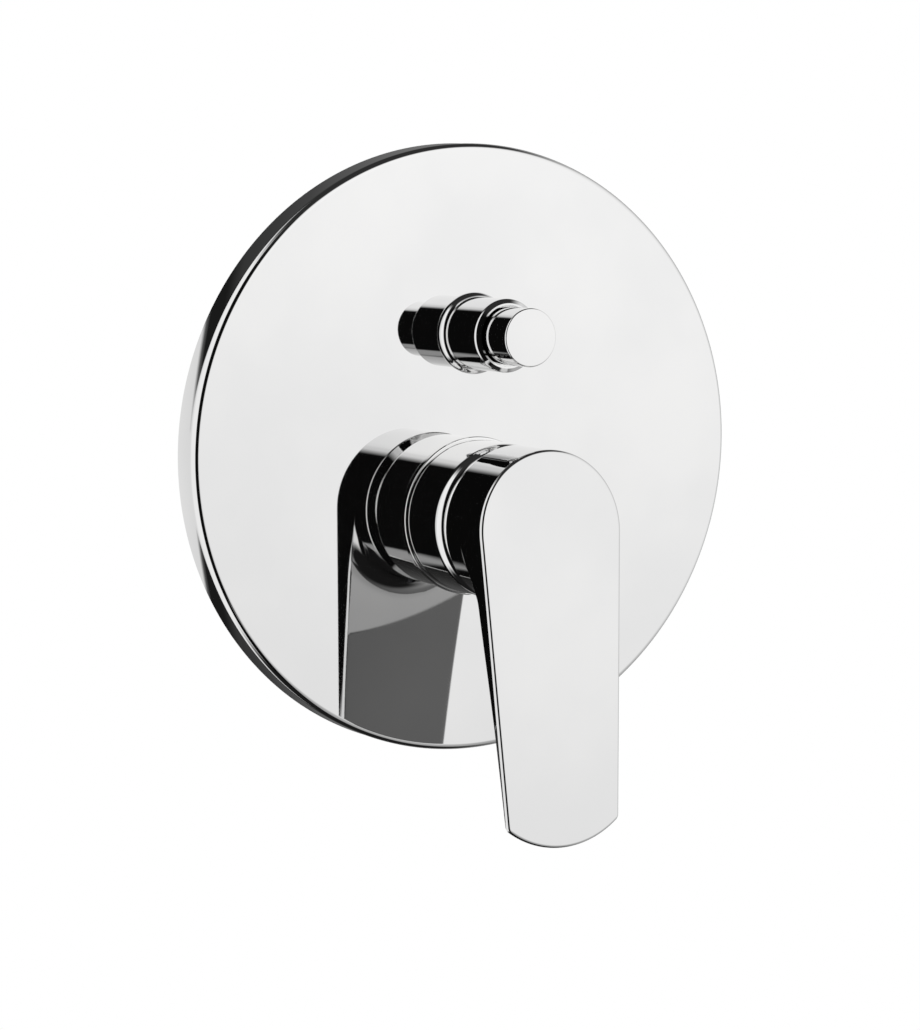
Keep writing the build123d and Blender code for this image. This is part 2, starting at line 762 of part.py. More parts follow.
# Brass body: cartridge chamber with its neck, diverter housing, four arms with stubs and two fixing lugs
with BuildPart() as valve_body:
    with BuildSketch(hub_plane(chamber_back)):
        Circle(chamber_radius)
    extrude(amount=chamber_front - chamber_back)
    with BuildSketch(diverter_plane(housing_back)):
        Circle(diverter_housing_radius)
    extrude(amount=housing_front - housing_back)
    with BuildSketch(Plane.YZ):
        with Locations((-port_height, hub_z)):
            Circle(arm_radius)
    extrude(amount=inlet_arm, both=True)
    with BuildSketch(Plane.XY):
        with Locations((0, -port_height)):
            Circle(arm_radius)
    extrude(amount=outlet_arm, both=True)
    saddle_round = min(cast_round, diverter_housing_radius - arm_radius)
    fillet(valve_body.edges().filter_by(GeomType.BSPLINE), saddle_round)
    fillet(valve_body.faces().filter_by(Axis.Y).group_by(Axis.Y)[-1].edges(), rim_round)
    with BuildSketch(hub_plane(lug_back)):
        with Locations((0, lug_z - hub_z)):
            SlotOverall(lug_spacing + lug_width, lug_width)
    extrude(amount=lug_thickness)
    for side in (-1, 1):
        with BuildSketch(Plane.YZ.offset(side * inlet_arm)):
            with Locations((-port_height, hub_z)):
                Circle(stub_radius)
        extrude(amount=side * stub_length)
        with BuildSketch(Plane.XY.offset(side * outlet_arm)):
            with Locations((0, -port_height)):
                Circle(stub_radius)
        extrude(amount=side * stub_length)
    with BuildSketch(hub_plane(chamber_front)):
        Circle(neck_radius)
    extrude(amount=neck_top - chamber_front)
    # Cartridge bore, nut thread and seal groove
    with BuildSketch(hub_plane(seat)):
        Circle(cartridge_radius)
    extrude(amount=neck_top - seat, mode=Mode.SUBTRACT)
    with BuildSketch(hub_plane(shoulder_top)):
        Circle(nut_radius)
    extrude(amount=neck_top - shoulder_top, mode=Mode.SUBTRACT)
    with BuildSketch(hub_section):
        with Locations((neck_seal_height, neck_radius)):
            Rectangle(neck_seal_width, 2 * (neck_radius - neck_groove))
    revolve(axis=hub_axis, mode=Mode.SUBTRACT)
    # Diverter bores
    with BuildSketch(diverter_plane(bonnet_back - bonnet_step)):
        Circle(bonnet_radius)
    extrude(amount=housing_front - bonnet_back + bonnet_step, mode=Mode.SUBTRACT)
    with BuildSketch(diverter_plane(spool_back)):
        Circle(spool_radius)
    extrude(amount=housing_front - spool_back, mode=Mode.SUBTRACT)
    # Waterways from the inlets to the seat
    with BuildSketch(hub_plane(seat)):
        with Locations(*inlet_ports):
            Circle(inlet_port_radius)
    extrude(amount=port_height - seat, mode=Mode.SUBTRACT)
    with BuildSketch(hub_plane(seat)):
        with Locations(*outlet_ports):
            Circle(outlet_port_radius)
    extrude(amount=port_height - channel_radius - channel_relief - seat, mode=Mode.SUBTRACT)
    for side in (-1, 1):
        with BuildSketch(Plane.YZ.offset(side * waterway_end)):
            with Locations((-port_height, hub_z)):
                Circle(waterway_radius)
        extrude(amount=side * inlet_reach, mode=Mode.SUBTRACT)
    # Channels: mixed water up to the diverter, then on to the upper or the lower outlet
    with BuildSketch(Plane.XY.offset(diverter_z)):
        with Locations((0, -port_height)):
            Circle(channel_radius)
    extrude(amount=hub_z + outlet_port_z - diverter_z, mode=Mode.SUBTRACT)
    with BuildSketch(Plane.XY.offset(diverter_z)):
        with Locations((0, -upper_channel)):
            Circle(channel_radius)
    extrude(amount=outlet_reach - thread_depth - diverter_z, mode=Mode.SUBTRACT)
    with BuildSketch(Plane.XY.offset(diverter_z)):
        with Locations((0, -lower_channel)):
            Circle(channel_radius)
    extrude(amount=thread_depth - outlet_reach - diverter_z, mode=Mode.SUBTRACT)
    # Sockets for the cartridge's locating pins, and the fixing holes
    with BuildSketch(hub_plane(seat)):
        with Locations(*locators):
            Circle(locator_radius + cartridge_gap)
    extrude(amount=-locator_length - cartridge_gap, mode=Mode.SUBTRACT)
    with BuildSketch(hub_plane(lug_back)):
        with Locations((0, lug_z - hub_z)):
            with GridLocations(lug_spacing, 0, 2, 1):
                Circle(lug_hole_radius)
    extrude(amount=lug_thickness, mode=Mode.SUBTRACT)
save(valve_body.part, "valve_body")


# Port unions: screwed onto the stubs, each with a female pipe thread and two flats for a spanner
def port_union(shoulder, outward, name):
    base = Plane(origin=shoulder, x_dir=(0, 1, 0), z_dir=outward)
    with BuildPart() as union:
        with BuildSketch(base):
            Circle(union_radius)
        extrude(amount=union_length)
        chamfer(union.faces().filter_by(GeomType.PLANE).edges(), union_chamfer)
        with BuildSketch(base.offset(union_length)):
            with GridLocations(union_flats + 2 * union_step, 0, 2, 1):
                Rectangle(2 * union_step, 2 * union_radius)
        extrude(amount=-union_flat_length, mode=Mode.SUBTRACT)
        with BuildSketch(base):
            Circle(stub_radius)
        extrude(amount=stub_length, mode=Mode.SUBTRACT)
        with BuildSketch(base):
            Circle(thread_radius)
        extrude(amount=union_length, mode=Mode.SUBTRACT)
    save(union.part, name)


port_union((-inlet_arm, -port_height, hub_z), (-1, 0, 0), "hot_union")
port_union((inlet_arm, -port_height, hub_z), (1, 0, 0), "cold_union")
port_union((0, -port_height, outlet_arm), (0, 0, 1), "upper_union")
port_union((0, -port_height, -outlet_arm), (0, 0, -1), "lower_union")
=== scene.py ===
import json
from math import asin, atan2, cos, pi, radians, sin, sqrt, tan

import bpy
from mathutils import Matrix, Vector


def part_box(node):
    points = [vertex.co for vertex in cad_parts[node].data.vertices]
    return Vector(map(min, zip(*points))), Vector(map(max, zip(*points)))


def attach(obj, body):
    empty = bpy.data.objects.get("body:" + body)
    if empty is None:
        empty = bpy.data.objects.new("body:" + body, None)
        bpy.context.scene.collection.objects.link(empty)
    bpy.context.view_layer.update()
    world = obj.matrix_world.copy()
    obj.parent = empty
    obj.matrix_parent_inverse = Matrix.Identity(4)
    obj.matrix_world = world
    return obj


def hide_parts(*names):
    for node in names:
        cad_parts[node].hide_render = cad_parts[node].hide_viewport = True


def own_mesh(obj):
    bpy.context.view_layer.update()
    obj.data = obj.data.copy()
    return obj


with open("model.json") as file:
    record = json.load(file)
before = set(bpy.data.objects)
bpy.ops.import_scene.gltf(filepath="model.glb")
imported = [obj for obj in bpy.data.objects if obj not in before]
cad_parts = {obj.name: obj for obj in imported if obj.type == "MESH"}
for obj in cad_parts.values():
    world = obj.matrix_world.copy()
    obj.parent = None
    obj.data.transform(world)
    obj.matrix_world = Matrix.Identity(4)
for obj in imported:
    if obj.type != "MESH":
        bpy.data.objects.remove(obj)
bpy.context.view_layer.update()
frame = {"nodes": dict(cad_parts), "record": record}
mm = 0.001
seamGap = 0.002 * mm        # points nearer than this are merged
cutterDepth = 60 * mm
print("frame loaded:", len(frame["nodes"]), "nodes")

# axes of the lever and the diverter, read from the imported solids
plateLow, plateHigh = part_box("cover_plate")
sleeveLow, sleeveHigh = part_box("hub_sleeve")
buttonLow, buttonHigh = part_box("diverter_button")
collarLow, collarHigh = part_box("diverter_collar")
leverLow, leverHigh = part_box("lever_handle")
hubZ = (sleeveLow.z + sleeveHigh.z) / 2
diverterZ = (buttonLow.z + buttonHigh.z) / 2
plateFace = -plateLow.y     # heights are measured out from the wall, so y = -height


class Wire:
    # one node socket, with sums written as Python expressions
    def __init__(self, tree, socket=None):
        self.tree = tree
        self.socket = socket

    def node(self, kind, settings, values, output=0):
        made = self.tree.nodes.new(kind)
        for name, value in settings.items():
            if name == "stops":
                fillRamp(made.color_ramp, value)
            else:
                setattr(made, name, value)
        for name, value in values.items():
            if isinstance(value, Wire):
                self.tree.links.new(value.socket, made.inputs[name])
            else:
                made.inputs[name].default_value = value
        return Wire(self.tree, made.outputs[output] if made.outputs else None)

    def maths(self, operation, first, second=0.0):
        return self.node("ShaderNodeMath", {"operation": operation}, {0: first, 1: second})

    def __add__(self, other):
        return self.maths("ADD", self, other)

    def __radd__(self, other):
        return self.maths("ADD", other, self)

    def __sub__(self, other):
        return self.maths("SUBTRACT", self, other)

    def __rsub__(self, other):
        return self.maths("SUBTRACT", other, self)

    def __mul__(self, other):
        return self.maths("MULTIPLY", self, other)

    def __rmul__(self, other):
        return self.maths("MULTIPLY", other, self)

    def __truediv__(self, other):
        return self.maths("DIVIDE", self, other)

    def __neg__(self):
        return self.maths("MULTIPLY", self, -1.0)

    def ramp(self, low, high):    # 0 at low, 1 at high, eased between
        limits = {"Value": self, "From Min": low, "From Max": high}
        return self.node("ShaderNodeMapRange", {"interpolation_type": "SMOOTHSTEP"}, limits)


def fillRamp(ramp, stops):
    while len(ramp.elements) < len(stops):
        ramp.elements.new(1.0)
    for element, (place, colour) in zip(ramp.elements, stops):
        element.position = place
        element.color = colour


def grey(level):
    return (level, level, level, 1.0)


def newMaterial(name):
    material = bpy.data.materials.new(name)
    material.use_nodes = True
    material.node_tree.nodes.clear()
    return material, Wire(material.node_tree)


def finishMaterial(wire, values):
    surface = wire.node("ShaderNodeBsdfPrincipled", {}, values)
    wire.node("ShaderNodeOutputMaterial", {}, {"Surface": surface})


def noise(wire, place, scale, detail=3.0):
    return wire.node("ShaderNodeTexNoise", {}, {"Vector": place, "Scale": scale, "Detail": detail})


def mixColour(wire, factor, first, second):
    return wire.node("ShaderNodeMix", {"data_type": "RGBA"}, {0: factor, 6: first, 7: second}, 2)


def bumpFrom(wire, height, look):
    values = {"Height": height, "Strength": look["bump"], "Distance": look["bumpDepth"]}
    return wire.node("ShaderNodeBump", {}, values)


def objectPlace(wire):
    return wire.node("ShaderNodeTexCoord", {}, {}, "Object")


def splitPlace(wire, place):
    return [wire.node("ShaderNodeSeparateXYZ", {}, {"Vector": place}, axis) for axis in "XYZ"]


# polished chrome plate: near mirror, with a trace of polishing haze
chromeLook = {
    "dark": grey(0.80), "light": (0.84, 0.838, 0.835, 1.0),
    # the lever's copy of the chrome is painted darker than the plate's: painted shade for the dimmer light its
    # face reflects
    "leverShadedDark": grey(0.735), "leverShadedLight": (0.77, 0.768, 0.765, 1.0),
    "cloudScale": 22.0, "wipeScale": 140.0, "wipeDetail": 2.0, "tone": (0.3, 0.7),
    "rough": 0.022, "haze": 0.03, "hazeClouds": (0.45, 0.8), "hazeWipes": (0.3, 0.8),
}


def chromeFinish(name, dark, light):
    look = chromeLook
    material, wire = newMaterial(name)
    place = objectPlace(wire)
    clouds = noise(wire, place, look["cloudScale"])
    wipes = noise(wire, place, look["wipeScale"], look["wipeDetail"])
    colour = mixColour(wire, clouds.ramp(*look["tone"]), dark, light)
    haze = look["haze"] * clouds.ramp(*look["hazeClouds"]) * wipes.ramp(*look["hazeWipes"])
    finishMaterial(wire, {"Base Color": colour, "Roughness": look["rough"] + haze, "Metallic": 1.0})
    return material


# inside of the drawn plate: thin plating over bare pressed metal, left unpolished
satinLook = {
    "dark": (0.34, 0.345, 0.35, 1.0), "light": (0.50, 0.505, 0.51, 1.0), "tone": (0.3, 0.7),
    "cloudScale": 40.0, "cloudDetail": 4.0, "cloudShare": 0.7,
    "grainScale": 480.0, "grainDetail": 2.0, "grainShare": 0.3,
    "rough": 0.38, "roughSpread": 0.12, "bump": 0.2, "bumpDepth": 0.05 * mm,
}


def satinBack():
    look = satinLook
    material, wire = newMaterial("satinBack")
    place = objectPlace(wire)
    cloud = noise(wire, place, look["cloudScale"], look["cloudDetail"])
    grain = noise(wire, place, look["grainScale"], look["grainDetail"])
    tone = (cloud * look["cloudShare"] + grain * look["grainShare"]).ramp(*look["tone"])
    finishMaterial(wire, {
        "Base Color": mixColour(wire, tone, look["dark"], look["light"]), "Metallic": 1.0,
        "Roughness": look["rough"] + look["roughSpread"] * cloud, "Normal": bumpFrom(wire, grain, look),
    })
    return material


# sand-cast brass: dull skin with brighter patches and a fine grain
brassLook = {
    "dull": (0.30, 0.19, 0.075, 1.0), "bright": (0.62, 0.43, 0.18, 1.0), "tone": (0.32, 0.66),
    "patchScale": 55.0, "patchDetail": 4.0, "patchShare": 0.7,
    "grainScale": 900.0, "grainDetail": 2.0, "grainShare": 0.3, "grainRelief": 0.12,
    "rough": 0.56, "polish": 0.14, "polished": (0.35, 0.7), "bump": 0.75, "bumpDepth": 0.9 * mm,
}


def castBrass():
    look = brassLook
    material, wire = newMaterial("castBrass")
    place = objectPlace(wire)
    patches = noise(wire, place, look["patchScale"], look["patchDetail"])
    grain = noise(wire, place, look["grainScale"], look["grainDetail"])
    tone = (patches * look["patchShare"] + grain * look["grainShare"]).ramp(*look["tone"])
    finishMaterial(wire, {
        "Base Color": mixColour(wire, tone, look["dull"], look["bright"]), "Metallic": 1.0,
        "Roughness": look["rough"] - look["polish"] * patches.ramp(*look["polished"]),
        "Normal": bumpFrom(wire, grain * look["grainRelief"], look),
    })
    return material


# bar brass: fine rings from the lathe, along the piece's own axis
barLook = {
    "dark": (0.52, 0.36, 0.15, 1.0), "light": (0.76, 0.58, 0.29, 1.0), "tone": (0.3, 0.75),
    "ringScale": 15600.0, "ringShare": 0.12, "blurScale": 90.0,
    "rough": 0.2, "roughSpread": 0.12, "bump": 0.12, "bumpDepth": 0.02 * mm,
}


def turnedBrass(name, axis):
    look = barLook
    material, wire = newMaterial(name)
    place = objectPlace(wire)
    rings = wire.maths("SINE", splitPlace(wire, place)[axis] * look["ringScale"])
    blur = noise(wire, place, look["blurScale"])
    tone = (rings * look["ringShare"] + blur).ramp(*look["tone"])
    finishMaterial(wire, {
        "Base Color": mixColour(wire, tone, look["dark"], look["light"]), "Metallic": 1.0,
        "Roughness": look["rough"] + look["roughSpread"] * blur, "Normal": bumpFrom(wire, rings, look),
    })
    return material


# drawn steel for the spring and pins, and a blackened one for the grub screw, which is also painted into the
# screw's hole as shade
steelLook = {
    "bright": [(0.40, 0.41, 0.42, 1.0), (0.60, 0.61, 0.62, 1.0)],
    "black": [(0.02, 0.02, 0.022, 1.0), (0.05, 0.05, 0.054, 1.0)],
    "streakScale": 700.0, "streakDetail": 2.0, "streakShare": 0.5, "cloudScale": 60.0, "cloudShare": 0.5,
    "tone": (0.3, 0.7), "rough": 0.2, "roughSpread": 0.16, "bump": 0.1, "bumpDepth": 0.03 * mm,
}


def steelFinish(name, dark, light):
    look = steelLook
    material, wire = newMaterial(name)
    place = objectPlace(wire)
    streak = noise(wire, place, look["streakScale"], look["streakDetail"])
    cloud = noise(wire, place, look["cloudScale"])
    tone = (streak * look["streakShare"] + cloud * look["cloudShare"]).ramp(*look["tone"])
    finishMaterial(wire, {
        "Base Color": mixColour(wire, tone, dark, light), "Metallic": 1.0,
        "Roughness": look["rough"] + look["roughSpread"] * cloud, "Normal": bumpFrom(wire, streak, look),
    })
    return material


# mouldings, discs and seals share one recipe: a soft cloud, a fine grain and a bump
softLooks = {
    "white_plastic": {
        "name": "whiteAcetal", "low": (0.70, 0.70, 0.67, 1.0), "high": (0.82, 0.82, 0.80, 1.0),
        "rough": 0.42, "grain": 1100.0, "bump": 0.05,
    },
    "grey_plastic": {
        "name": "greyAcetal", "low": (0.13, 0.135, 0.145, 1.0), "high": (0.19, 0.195, 0.21, 1.0),
        "rough": 0.46, "grain": 1000.0, "bump": 0.06,
    },
    "ceramic": {
        "name": "lappedCeramic", "low": (0.78, 0.77, 0.73, 1.0), "high": (0.86, 0.85, 0.82, 1.0),
        "rough": 0.14, "grain": 2400.0, "bump": 0.01,
    },
    "rubber": {
        "name": "sealRubber", "low": (0.012, 0.012, 0.013, 1.0), "high": (0.03, 0.03, 0.031, 1.0),
        "rough": 0.6, "grain": 1500.0, "bump": 0.08,
    },
    "foam": {
        "name": "closedFoam", "low": (0.016, 0.016, 0.017, 1.0), "high": (0.055, 0.055, 0.057, 1.0),
        "rough": 0.85, "grain": 620.0, "bump": 0.5,
    },
}
softRecipe = {
    "cloudScale": 70.0, "cloudShare": 0.6, "cellShare": 0.5, "tone": (0.25, 0.8),
    "roughSpread": 0.1, "bumpDepth": 0.5 * mm,
}


def softFinish(look):
    look = {**softRecipe, **look}
    material, wire = newMaterial(look["name"])
    place = objectPlace(wire)
    cloud = noise(wire, place, look["cloudScale"])
    cellValues = {"Vector": place, "Scale": look["grain"]}
    cells = wire.node("ShaderNodeTexVoronoi", {}, cellValues, "Distance")
    tone = (cloud * look["cloudShare"] + cells * look["cellShare"]).ramp(*look["tone"])
    finishMaterial(wire, {
        "Base Color": mixColour(wire, tone, look["low"], look["high"]),
        "Roughness": look["rough"] + look["roughSpread"] * cloud, "Normal": bumpFrom(wire, cells, look),
    })
    return material


finishes = {
    "chrome": chromeFinish("polishedChrome", chromeLook["dark"], chromeLook["light"]),
    "brass": castBrass(),
    "brass_bar": turnedBrass("turnedBrass", 1),
    "steel": steelFinish("brightSteel", *steelLook["bright"]),
}
for slotName, softLook in softLooks.items():
    finishes[slotName] = softFinish(softLook)
blackSteel = steelFinish("blackSteel", *steelLook["black"])
for part in frame["record"]["subparts"]:
    mesh = frame["nodes"][part["node"]].data
    mesh.materials.clear()
    mesh.materials.append(blackSteel if part["node"] == "grub_screw" else finishes[part["material_slot"]])
print("finishes:", ", ".join(finishes))


def pickPiece(piece):
    bpy.ops.object.select_all(action="DESELECT")
    piece.select_set(True)
    bpy.context.view_layer.objects.active = piece


def startPoint(height, radius, axisZ):
    # a plane merged to one point, ready to be drawn out along a half-section
    bpy.ops.object.select_all(action="DESELECT")
    bpy.ops.mesh.primitive_plane_add(size=mm, location=(radius, -height, axisZ))
    bpy.ops.object.transform_apply(location=True, rotation=True, scale=True)
    bpy.ops.object.mode_set(mode="EDIT")
    bpy.ops.mesh.select_mode(type="VERT")
    bpy.ops.mesh.select_all(action="SELECT")
    bpy.ops.mesh.merge(type="CENTER")
    return bpy.context.object


def drawSection(section):
    for (fromHeight, fromRadius), (toHeight, toRadius) in zip(section, section[1:]):
        step = (toRadius - fromRadius, fromHeight - toHeight, 0.0)
        bpy.ops.mesh.extrude_vertices_move(TRANSFORM_OT_translate={"value": step})


def spinSection(name, axisZ, section, steps, seam=seamGap):
    # a half-section of (height, radius) points, spun round an axis out of the wall
    piece = startPoint(*section[0], axisZ)
    piece.name = name
    drawSection(section)
    bpy.ops.mesh.select_all(action="SELECT")
    bpy.ops.mesh.spin(steps=steps, angle=2 * pi, center=(0.0, 0.0, axisZ), axis=(0.0, 1.0, 0.0))
    bpy.ops.mesh.select_all(action="SELECT")
    bpy.ops.mesh.remove_doubles(threshold=seam)
    return piece


def turnPiece(name, axisZ, section, steps):
    piece = spinSection(name, axisZ, section + section[:1], steps)
    closeSeams()
    return piece


def selectRims():
    bpy.ops.mesh.select_mode(type="EDGE")
    bpy.ops.mesh.select_all(action="DESELECT")
    bpy.ops.mesh.select_non_manifold(extend=False, use_wire=False, use_multi_face=False, use_verts=False)


def closeSeams(seam=seamGap):
    bpy.ops.mesh.select_all(action="SELECT")
    bpy.ops.mesh.remove_doubles(threshold=seam)
    bpy.ops.mesh.normals_make_consistent(inside=False)
    bpy.ops.object.mode_set(mode="OBJECT")


def smoothPiece(piece, angle):
    pickPiece(piece)
    bpy.ops.object.shade_smooth_by_angle(angle=radians(angle))
    piece.modifiers.new("evenNormals", "WEIGHTED_NORMAL").keep_sharp = True
    bpy.ops.object.modifier_apply(modifier="evenNormals")


def arcRun(centre, radius, start, end, steps):
    # points on a round, in the half-section; angles in degrees from the axis that points out of the wall
    turns = [radians(start + (end - start) * i / steps) for i in range(steps + 1)]
    return [(centre[0] + radius * cos(t), centre[1] + radius * sin(t)) for t in turns]


def dressPiece(piece, node, body, slotName):
    piece.data.materials.clear()
    piece.data.materials.append(finishes[slotName])
    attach(piece, body)
    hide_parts(node)


def cutAway(piece, cutter):
    cut = piece.modifiers.new("cut", "BOOLEAN")
    cut.operation = "DIFFERENCE"
    cut.solver = "EXACT"
    cut.object = cutter
    pickPiece(piece)
    bpy.ops.object.modifier_apply(modifier="cut")
    bpy.data.objects.remove(cutter)


def cylinderCutter(radius, axisZ, steps):
    bpy.ops.object.select_all(action="DESELECT")
    bpy.ops.mesh.primitive_cylinder_add(
        vertices=steps, radius=radius, depth=cutterDepth,
        location=(0.0, -plateFace, axisZ), rotation=(pi / 2, 0.0, 0.0),
    )
    return bpy.context.object


# cover plate: a drawn dish, its two holes cut after the face is filled
plate = {
    "wall": 1.5 * mm, "edgeRound": 1.9 * mm, "draw": 0.2 * mm, "drawLip": 0.15,
    "holeGap": 0.1 * mm, "sleeveStep": 0.75 * mm, "collarSkirt": 10.37 * mm,
    "rimLevel": 0.01 * mm, "backFacing": 0.5, "insideGap": 0.1 * mm, "smooth": 32.0,
    "steps": 256, "roundSteps": 10, "wallSteps": 14, "sleeveHoleSteps": 160, "collarHoleSteps": 128,
}


def makePlate():
    radius = (plateHigh.x - plateLow.x) / 2
    inner = radius - plate["wall"]
    back = plateFace - plate["wall"]
    roundCentre = (plateFace - plate["edgeRound"], radius - plate["draw"] - plate["edgeRound"])
    section = arcRun(roundCentre, plate["edgeRound"], 0, 90, plate["roundSteps"])
    for i in range(1, plate["wallSteps"] + 1):    # the drawn wall is faintly hollow and opens towards the tiles
        share = i / plate["wallSteps"]
        hollow = (share - plate["drawLip"]) / (1 - plate["drawLip"])
        section.append((roundCentre[0] * (1 - share), radius - plate["draw"] * (1 - hollow ** 2)))
    section += [(0.0, inner), (back, inner)]
    piece = spinSection("coverPlate", 0.0, section, plate["steps"])
    for height in (section[0][0], section[-1][0]):    # fill the face, then its back
        selectRims()
        bpy.ops.object.mode_set(mode="OBJECT")
        for edge in piece.data.edges:
            if abs(piece.data.vertices[edge.vertices[0]].co.y + height) > plate["rimLevel"]:
                edge.select = False
        bpy.ops.object.mode_set(mode="EDIT")
        bpy.ops.mesh.edge_face_add()
    closeSeams()
    sleeveHole = (sleeveHigh.x - sleeveLow.x) / 2 - plate["sleeveStep"] + plate["holeGap"]
    cutAway(piece, cylinderCutter(sleeveHole, hubZ, plate["sleeveHoleSteps"]))
    collarHole = plate["collarSkirt"] + plate["holeGap"]
    cutAway(piece, cylinderCutter(collarHole, diverterZ, plate["collarHoleSteps"]))
    smoothPiece(piece, plate["smooth"])
    dressPiece(piece, "cover_plate", "body", "chrome")
    piece.data.materials.append(satinBack())
    for face in piece.data.polygons:    # inside of the dish
        height, away = -face.center.y, sqrt(face.center.x ** 2 + face.center.z ** 2)
        facesWall = face.normal.y > plate["backFacing"] and height > plate["wall"]
        if facesWall or away < inner + plate["insideGap"] and height < back - plate["insideGap"]:
            face.material_index = 1
    print("cover plate:", len(piece.data.polygons), "faces")


makePlate()

# foam ring in the back of the plate
foam = {"width": 8.5 * mm, "round": 0.6 * mm, "smooth": 32.0, "steps": 192}


def makeFoam():
    low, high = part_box("plate_seal")
    outer = (high.x - low.x) / 2
    inner = outer - foam["width"]
    front, soft = -low.y, foam["round"]
    section = [(soft, outer), (front, outer), (front, inner), (soft, inner)]
    section += [(0.0, inner + soft), (0.0, outer - soft)]
    piece = turnPiece("foamRing", 0.0, section, foam["steps"])
    smoothPiece(piece, foam["smooth"])
    dressPiece(piece, "plate_seal", "body", "foam")
    print("foam ring:", len(piece.data.polygons), "faces")


makeFoam()

# hub sleeve: straight tube with a small foot, ending in a lip that is part of a sphere round the pivot
sleeve = {
    "wall": 2.05 * mm, "tail": 12.5 * mm, "length": 18.44 * mm, "pivotStand": 5.0 * mm,
    "footHeight": 1.3 * mm, "footRound": 0.4 * mm, "footOverhang": 0.75 * mm,
    "lipRadius": 17.5 * mm, "lipWall": 1.6 * mm, "lipRound": 3.0 * mm, "roundEnd": 20.0,
    "domeStart": 19.0 * mm, "smooth": 24.0,
    "steps": 192, "footSteps": 5, "lipSteps": 14, "domeSteps": 4, "innerSteps": 8,
}


def makeSleeve():
    footRadius = (sleeveHigh.x - sleeveLow.x) / 2
    outer = footRadius - sleeve["footOverhang"]
    inner = outer - sleeve["wall"]
    tail = plateFace - sleeve["tail"]
    pivot = plateFace + sleeve["pivotStand"]
    end = plateFace + sleeve["length"]
    footTop = plateFace + sleeve["footHeight"]
    dome = sqrt(outer ** 2 + (end - pivot) ** 2)
    innerDome = dome - sleeve["lipWall"]
    soft, lip = sleeve["footRound"], sleeve["lipRound"]

    def domeRun(sphere, fromRadius, toRadius, steps):
        start, stop = (asin(radius / sphere) * 180 / pi for radius in (fromRadius, toRadius))
        return arcRun((pivot, 0.0), sphere, start, stop, steps)

    section = [(tail, inner), (tail, outer), (plateFace, outer), (plateFace, footRadius)]
    section += arcRun((footTop - soft, footRadius - soft), soft, 90, 0, sleeve["footSteps"])
    section += [(footTop, outer)]
    lipCentre = (pivot + sqrt((dome - lip) ** 2 - (outer - lip) ** 2), outer - lip)
    section += arcRun(lipCentre, lip, 90, sleeve["roundEnd"], sleeve["lipSteps"])
    section += domeRun(dome, sleeve["domeStart"], sleeve["lipRadius"], sleeve["domeSteps"])
    section += domeRun(innerDome, sleeve["lipRadius"], inner, sleeve["innerSteps"])
    piece = turnPiece("hubSleeve", hubZ, section, sleeve["steps"])
    smoothPiece(piece, sleeve["smooth"])
    dressPiece(piece, "hub_sleeve", "body", "chrome")
    print("hub sleeve:", len(piece.data.polygons), "faces")


makeSleeve()

# diverter collar: stepped tube with a round foot on the plate and a coned mouth round the button
collar = {
    "length": 20.1 * mm, "footBase": 0.2 * mm, "footRound": 2.1 * mm, "footOverhang": 0.65 * mm,
    "footGrow": 0.75 * mm, "mouthRound": 0.9 * mm, "mouthSlope": 35.0, "mouthCone": 1.1 * mm,
    "mouthGap": 0.45 * mm, "mouthDepth": 4.0 * mm, "guideGap": 0.05 * mm, "skirtStep": 0.3 * mm,
    "skirtWall": 1.1 * mm, "skirtLength": 7.5 * mm, "spigot": 1.5 * mm, "smooth": 24.0,
    "steps": 144, "footSteps": 8, "mouthSteps": 6,
}


def makeCollar():
    outer = (collarHigh.x - collarLow.x) / 2 - collar["footOverhang"]
    footRadius = outer + collar["footOverhang"] + collar["footGrow"]
    guide = (buttonHigh.x - buttonLow.x) / 2 + collar["guideGap"]
    gap = guide + collar["mouthGap"]
    skirt = outer - collar["skirtStep"]
    skirtInner = skirt - collar["skirtWall"]
    end = plateFace + collar["length"]
    gapEnd = end - collar["mouthDepth"]
    back = plateFace - collar["skirtLength"]
    spigot = plateFace + collar["spigot"]
    soft, mouth = collar["footRound"], collar["mouthRound"]
    slope = radians(collar["mouthSlope"])
    footCentre = (plateFace + collar["footBase"], footRadius - soft)
    footEnd = asin((outer - footCentre[1]) / soft) * 180 / pi    # the foot's round runs into the tube
    mouthCentre = (end - collar["mouthCone"] * sin(slope) - mouth * cos(slope), outer - mouth)
    section = [(back, skirtInner), (back, skirt), (plateFace, skirt), (plateFace, footRadius)]
    section += arcRun(footCentre, soft, 90, footEnd, collar["footSteps"])
    section += arcRun(mouthCentre, mouth, 90, collar["mouthSlope"], collar["mouthSteps"])
    section += [(end, section[-1][1] - collar["mouthCone"] * cos(slope))]
    section += [(end, gap), (gapEnd, gap), (gapEnd, guide), (spigot, guide), (spigot, skirtInner)]
    piece = turnPiece("diverterCollar", diverterZ, section, collar["steps"])
    smoothPiece(piece, collar["smooth"])
    dressPiece(piece, "diverter_collar", "body", "chrome")
    print("diverter collar:", len(piece.data.polygons), "faces")


makeCollar()

# push button: a cup with a boss for the stem, closed to points on its axis after the spin
button = {
    "wall": 1.37 * mm, "endWall": 2.0 * mm, "endRound": 0.45 * mm, "bossRadius": 4.2 * mm,
    "bossLength": 5.2 * mm, "stemRadius": 3.0 * mm, "socket": 4.0 * mm, "centre": 0.05 * mm,
    "seam": 0.0005 * mm, "smooth": 24.0, "steps": 128, "endSteps": 8,
}


